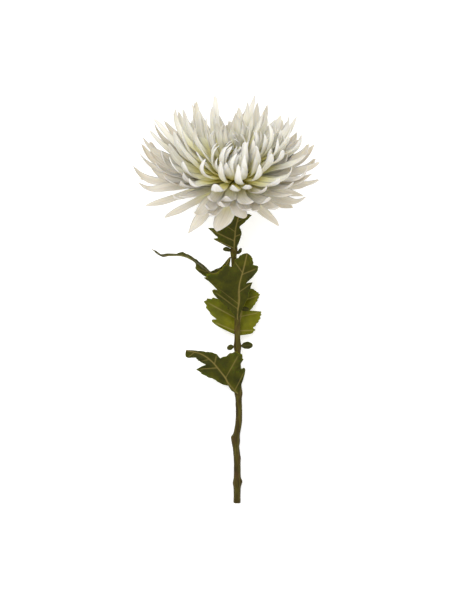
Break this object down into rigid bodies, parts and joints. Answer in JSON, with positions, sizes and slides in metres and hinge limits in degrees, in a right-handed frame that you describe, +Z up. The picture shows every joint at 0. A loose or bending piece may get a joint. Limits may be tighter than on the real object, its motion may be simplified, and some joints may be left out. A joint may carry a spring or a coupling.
{
  "type": "cut chrysanthemum",
  "caption": "Cut chrysanthemum lying down: woody stem with lobed leaves and one large incurving white bloom.",
  "frame": {"origin": "middle of the footprint of the lying flower, on the surface it lies on", "axes": "+X across the bloom, +Y from the cut end of the stem to the bloom, +Z up"},
  "size_m": [0.1474, 0.3222, 0.1086],
  "materials": {
    "stem_olive": "matte, ribbed, olive with brown streaks",
    "leaf_green": "matte, dark olive green with tan veins, paler beneath",
    "petal_white": "soft satin white, fine ridges along the petal",
    "petal_heart": "soft satin cream, yellow green at the base"
  },
  "bodies": {
    "root": {"stem": "stem_olive", "bract_cup": "leaf_green", "upper_leaf": "leaf_green", "middle_leaf": "leaf_green", "back_leaf": "leaf_green", "side_leaf": "leaf_green", "lower_leaf": "leaf_green", "leaflet_upper_left": "leaf_green", "leaflet_upper_right": "leaf_green", "leaflet_middle_left": "leaf_green", "leaflet_middle_right": "leaf_green", "leaflet_lower_left": "leaf_green", "leaflet_lower_right": "leaf_green", "skirt_petal_01": "petal_white", "skirt_petal_02": "petal_white", "skirt_petal_03": "petal_white", "skirt_petal_04": "petal_white", "skirt_petal_05": "petal_white", "skirt_petal_06": "petal_white", "skirt_petal_07": "petal_white", "skirt_petal_08": "petal_white", "skirt_petal_09": "petal_white", "skirt_petal_10": "petal_white", "skirt_petal_11": "petal_white", "skirt_petal_12": "petal_white", "skirt_petal_13": "petal_white", "skirt_petal_14": "petal_white", "skirt_petal_15": "petal_white", "skirt_petal_16": "petal_white", "outer_petal_01": "petal_white", "outer_petal_02": "petal_white", "outer_petal_03": "petal_white", "outer_petal_04": "petal_white", "outer_petal_05": "petal_white", "outer_petal_06": "petal_white", "outer_petal_07": "petal_white", "outer_petal_08": "petal_white", "outer_petal_09": "petal_white", "outer_petal_10": "petal_white", "outer_petal_11": "petal_white", "outer_petal_12": "petal_white", "outer_petal_13": "petal_white", "outer_petal_14": "petal_white", "outer_petal_15": "petal_white", "outer_petal_16": "petal_white", "outer_petal_17": "petal_white", "outer_petal_18": "petal_white", "outer_petal_19": "petal_white", "petal_whorl_02": "petal_white", "petal_whorl_03": "petal_white", "petal_whorl_04": "petal_white", "petal_whorl_05": "petal_white", "petal_whorl_06": "petal_white", "petal_whorl_07": "petal_heart", "petal_whorl_08": "petal_heart", "petal_whorl_09": "petal_heart", "petal_whorl_10": "petal_heart", "petal_whorl_11": "petal_heart"}
  },
  "joints": []
}
